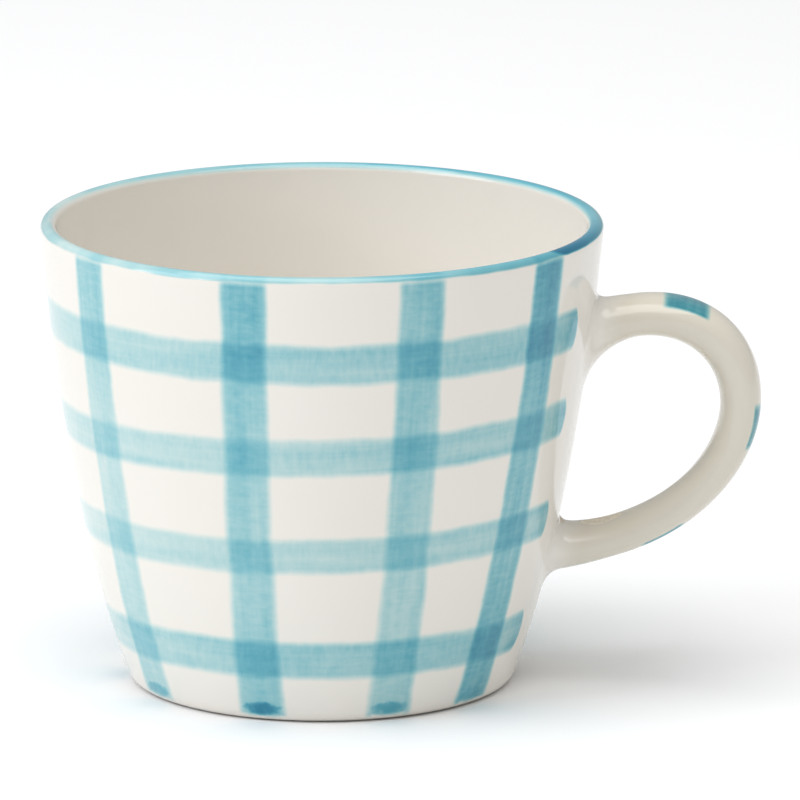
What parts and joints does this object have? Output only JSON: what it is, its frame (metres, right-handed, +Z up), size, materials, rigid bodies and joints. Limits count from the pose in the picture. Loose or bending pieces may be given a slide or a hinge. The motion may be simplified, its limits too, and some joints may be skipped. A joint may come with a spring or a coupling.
{
  "type": "stoneware mug",
  "caption": "Wide stoneware mug with a loop handle, glazed cream over a hand-brushed turquoise check, on an unglazed foot ring.",
  "frame": {"origin": "on the cup's axis at the plane of the foot ring, where the mug stands", "axes": "+Z up along the cup's axis, +X from the axis through the middle of the handle"},
  "size_m": [0.1281, 0.1, 0.0838],
  "materials": {
    "stoneware": "fired unglazed stoneware clay",
    "painted_glaze": "glossy cream glaze over turquoise brushwork",
    "plain_glaze": "glossy cream glaze, unpainted"
  },
  "bodies": {
    "root": {"cup_body": "stoneware", "handle": "stoneware", "upper_slip_joint": "stoneware", "lower_slip_joint": "stoneware", "glaze_coat": "painted_glaze", "base_glaze": "plain_glaze"}
  },
  "joints": []
}
